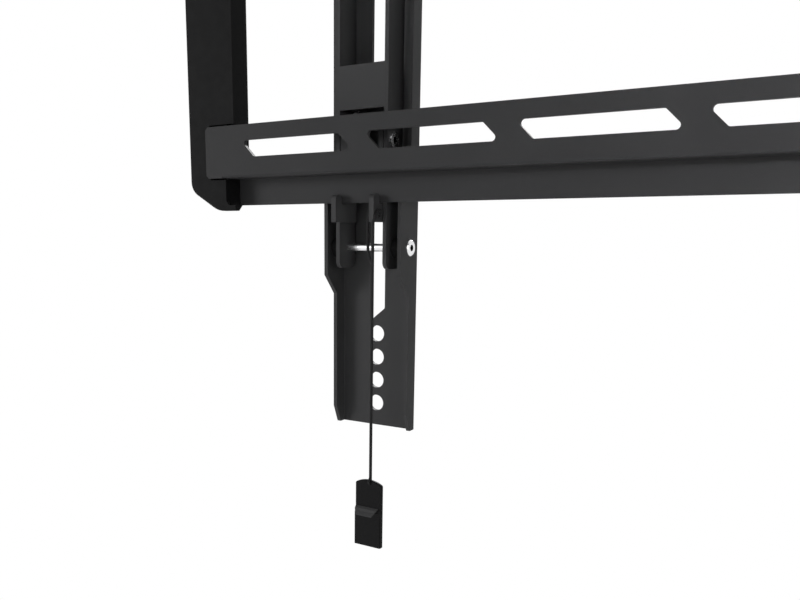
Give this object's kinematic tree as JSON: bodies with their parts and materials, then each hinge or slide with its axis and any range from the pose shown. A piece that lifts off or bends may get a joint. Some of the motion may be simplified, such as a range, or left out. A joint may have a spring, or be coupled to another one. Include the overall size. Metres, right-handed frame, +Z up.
{
  "type": "tilting television wall bracket",
  "caption": "Slim wall bracket for a flat screen: a slotted steel wall frame with tilting arms that hook over the rails and lock with sprung latches on pull cords.",
  "frame": {"origin": "centre of the pattern of wall slots, on the wall", "axes": "+X along the rails, +Y from the wall to the screen, +Z up"},
  "size_m": [0.6278, 0.035, 0.4795],
  "materials": {
    "rail_steel": "satin",
    "black_steel": "satin",
    "zinc_steel": "bright",
    "spring_steel": "bright",
    "dark_plastic": "fine grain",
    "black_plastic": "matte",
    "black_cord": "braided"
  },
  "bodies": {
    "wall_frame": {"bottom_rail": "rail_steel", "top_rail": "rail_steel", "left_side_cover": "dark_plastic", "right_side_cover": "dark_plastic", "left_cover_back": "dark_plastic", "right_cover_back": "dark_plastic", "left_side_strut": "black_steel", "right_side_strut": "black_steel"},
    "left_hook_body": {"left_hook_channel": "black_steel", "left_latch_rivets": "zinc_steel", "left_tilt_stops": "zinc_steel", "left_latch_spring": "spring_steel"},
    "left_arm_body": {"left_tv_arm": "black_steel", "left_tilt_pin": "zinc_steel", "left_tilt_bushes": "black_plastic"},
    "left_latch_body": {"left_latch": "black_steel", "left_pull_cord": "black_cord", "left_pull_tag": "black_plastic"},
    "right_hook_body": {"right_hook_channel": "black_steel", "right_latch_rivets": "zinc_steel", "right_tilt_stops": "zinc_steel", "right_latch_spring": "spring_steel"},
    "right_arm_body": {"right_tv_arm": "black_steel", "right_tilt_pin": "zinc_steel", "right_tilt_bushes": "black_plastic"},
    "right_latch_body": {"right_latch": "black_steel", "right_pull_cord": "black_cord", "right_pull_tag": "black_plastic"}
  },
  "joints": [
    {"name": "left_arm_slide", "type": "slide", "parent": "wall_frame", "child": "left_hook_body", "axis": [1, 0, 0], "range_m": [-0.04, 0.19]},
    {"name": "left_tilt", "type": "hinge", "parent": "left_hook_body", "child": "left_arm_body", "pos_m": [-0.2178, 0.0255, -0.1226], "axis": [-1, 0, 0], "range_deg": [0, 8]},
    {"name": "left_latch_slide", "type": "slide", "parent": "left_hook_body", "child": "left_latch_body", "axis": [0, 0, -1], "range_m": [0, 0.006], "stiffness_N_per_m": 300, "springref_m": -0.01, "deforming": ["left_latch_spring"]},
    {"name": "right_arm_slide", "type": "slide", "parent": "wall_frame", "child": "right_hook_body", "axis": [1, 0, 0], "range_m": [-0.19, 0.04]},
    {"name": "right_tilt", "type": "hinge", "parent": "right_hook_body", "child": "right_arm_body", "pos_m": [0.2178, 0.0255, -0.1226], "axis": [-1, 0, 0], "range_deg": [0, 8]},
    {"name": "right_latch_slide", "type": "slide", "parent": "right_hook_body", "child": "right_latch_body", "axis": [0, 0, -1], "range_m": [0, 0.006], "stiffness_N_per_m": 300, "springref_m": -0.01, "deforming": ["right_latch_spring"]}
  ]
}
